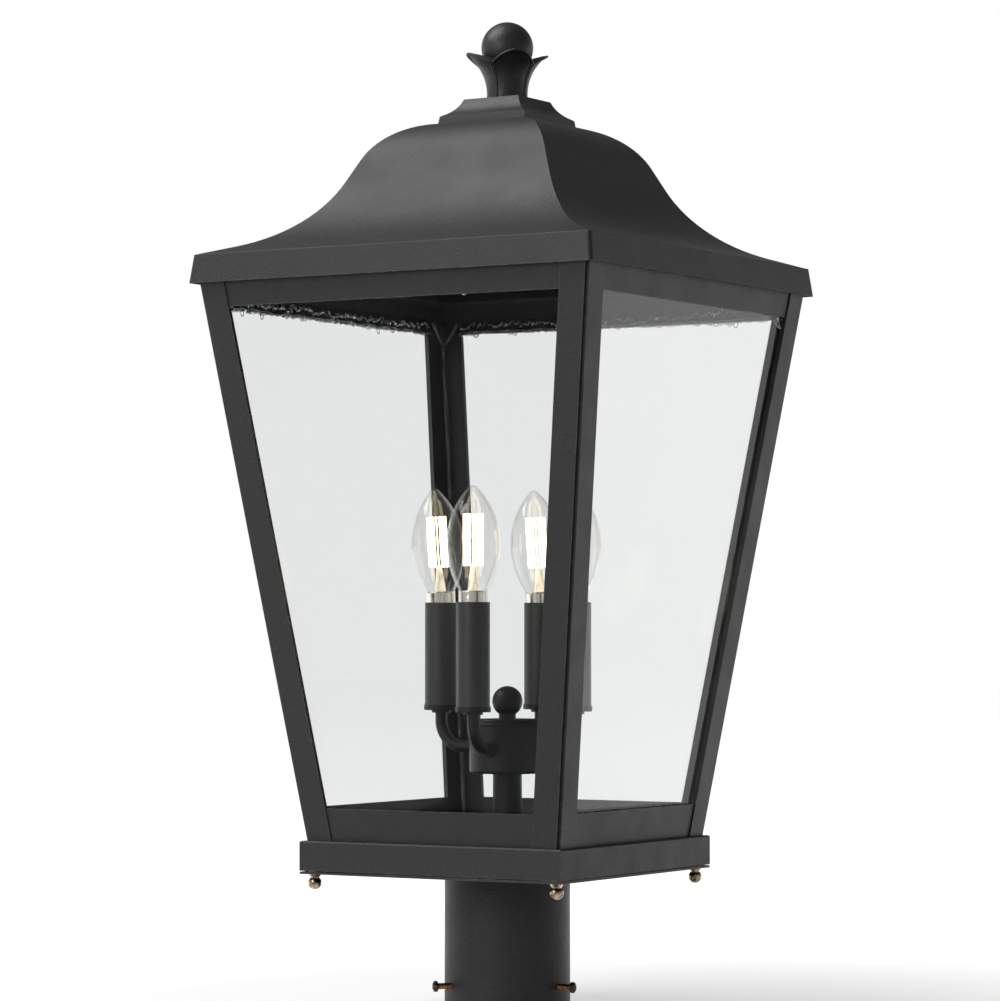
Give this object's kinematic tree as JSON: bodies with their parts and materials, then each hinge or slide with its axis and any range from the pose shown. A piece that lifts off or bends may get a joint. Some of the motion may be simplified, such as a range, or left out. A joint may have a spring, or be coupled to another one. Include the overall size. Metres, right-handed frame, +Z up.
{
  "type": "post top lantern",
  "caption": "Square tapered outdoor lantern with a bell-shaped roof and ball finial, lighting four candle lamps behind clear panes, on a fitter for a round post",
  "frame": {"origin": "on the post's axis at the open mouth of the post fitter", "axes": "+Z up along the post, the front pane faces -Y and the right pane faces +X"},
  "size_m": [0.3016, 0.3016, 0.6505],
  "materials": {
    "black_powder_coat": "fine-textured satin powder coat on steel sheet",
    "black_cast": "satin black on cast metal",
    "satin_black": "smooth satin black enamel",
    "black_sleeve": "matte black candle sleeve",
    "socket_plastic": "moulded dark phenolic",
    "plated_steel": "zinc plate",
    "pane_glass": "clear flat glass",
    "bulb_glass": "clear blown glass",
    "plated_collar": "bright nickel plate",
    "lit_strips": "coated lamp strips, lit",
    "dark_brass": "dark antique brass",
    "polished_brass": "antique brass, polished"
  },
  "bodies": {
    "base": {"post_fitter": "black_powder_coat", "base_plate": "black_powder_coat", "center_rod": "plated_steel", "rod_nut": "plated_steel", "stem_tube": "satin_black", "hub_cup": "satin_black", "hub_lid": "satin_black", "hub_knob": "satin_black", "lamp_arm_front": "satin_black", "lamp_arm_right": "satin_black", "lamp_arm_back": "satin_black", "lamp_arm_left": "satin_black", "arm_collars": "satin_black", "arm_nuts": "plated_steel", "candle_sleeve_front": "black_sleeve", "candle_sleeve_right": "black_sleeve", "candle_sleeve_back": "black_sleeve", "candle_sleeve_left": "black_sleeve", "candle_cups": "satin_black", "lamp_sockets": "socket_plastic"},
    "cage": {"tray": "black_powder_coat", "tray_studs": "plated_steel", "corner_post_front_left": "black_powder_coat", "corner_post_front_right": "black_powder_coat", "corner_post_back_right": "black_powder_coat", "corner_post_back_left": "black_powder_coat", "top_rails": "black_powder_coat", "bottom_rails": "black_powder_coat", "glass_pane_front": "pane_glass", "glass_pane_right": "pane_glass", "glass_pane_back": "pane_glass", "glass_pane_left": "pane_glass", "soffit_ring": "black_powder_coat", "eave_band": "black_powder_coat", "roof_shell": "black_powder_coat", "roof_cap": "black_cast", "finial_calyx": "black_cast", "finial_ball": "black_cast", "finial_bolt": "plated_steel", "finial_nut": "plated_steel"},
    "set_screw_1": {"set_screw_1": "dark_brass"},
    "set_screw_2": {"set_screw_2": "dark_brass"},
    "set_screw_3": {"set_screw_3": "dark_brass"},
    "ball_nut_front_left": {"ball_nut_front_left": "polished_brass"},
    "ball_nut_front_right": {"ball_nut_front_right": "polished_brass"},
    "ball_nut_back_right": {"ball_nut_back_right": "polished_brass"},
    "ball_nut_back_left": {"ball_nut_back_left": "polished_brass"},
    "bulb_front": {"bulb_base_front": "plated_collar", "bulb_glass_front": "bulb_glass", "bulb_filament_front": "lit_strips"},
    "bulb_right": {"bulb_base_right": "plated_collar", "bulb_glass_right": "bulb_glass", "bulb_filament_right": "lit_strips"},
    "bulb_back": {"bulb_base_back": "plated_collar", "bulb_glass_back": "bulb_glass", "bulb_filament_back": "lit_strips"},
    "bulb_left": {"bulb_base_left": "plated_collar", "bulb_glass_left": "bulb_glass", "bulb_filament_left": "lit_strips"}
  },
  "joints": [
    {"name": "cage_lift", "type": "slide", "parent": "base", "child": "cage", "axis": [0, 0, 1], "range_m": [0, 0.275]},
    {"name": "ball_nut_off_front_left", "type": "slide", "parent": "base", "child": "ball_nut_front_left", "axis": [0, 0, -1], "range_m": [0, 0.014]},
    {"name": "ball_nut_off_front_right", "type": "slide", "parent": "base", "child": "ball_nut_front_right", "axis": [0, 0, -1], "range_m": [0, 0.014]},
    {"name": "ball_nut_off_back_right", "type": "slide", "parent": "base", "child": "ball_nut_back_right", "axis": [0, 0, -1], "range_m": [0, 0.014]},
    {"name": "ball_nut_off_back_left", "type": "slide", "parent": "base", "child": "ball_nut_back_left", "axis": [0, 0, -1], "range_m": [0, 0.014]},
    {"name": "set_screw_turn_out_1", "type": "slide", "parent": "base", "child": "set_screw_1", "axis": [0.9979, -0.0645, 0], "range_m": [-0.009, 0.003]},
    {"name": "set_screw_turn_out_2", "type": "slide", "parent": "base", "child": "set_screw_2", "axis": [-0.4431, 0.8965, 0], "range_m": [-0.009, 0.003]},
    {"name": "set_screw_turn_out_3", "type": "slide", "parent": "base", "child": "set_screw_3", "axis": [-0.5548, -0.832, 0], "range_m": [-0.009, 0.003]},
    {"name": "bulb_out_front", "type": "slide", "parent": "base", "child": "bulb_front", "axis": [0, 0, 1], "range_m": [0, 0.028]},
    {"name": "bulb_out_right", "type": "slide", "parent": "base", "child": "bulb_right", "axis": [0, 0, 1], "range_m": [0, 0.028]},
    {"name": "bulb_out_back", "type": "slide", "parent": "base", "child": "bulb_back", "axis": [-0.0522, -0.0317, 0.9981], "range_m": [0, 0.028]},
    {"name": "bulb_out_left", "type": "slide", "parent": "base", "child": "bulb_left", "axis": [-0.0522, -0.0317, 0.9981], "range_m": [0, 0.028]}
  ]
}
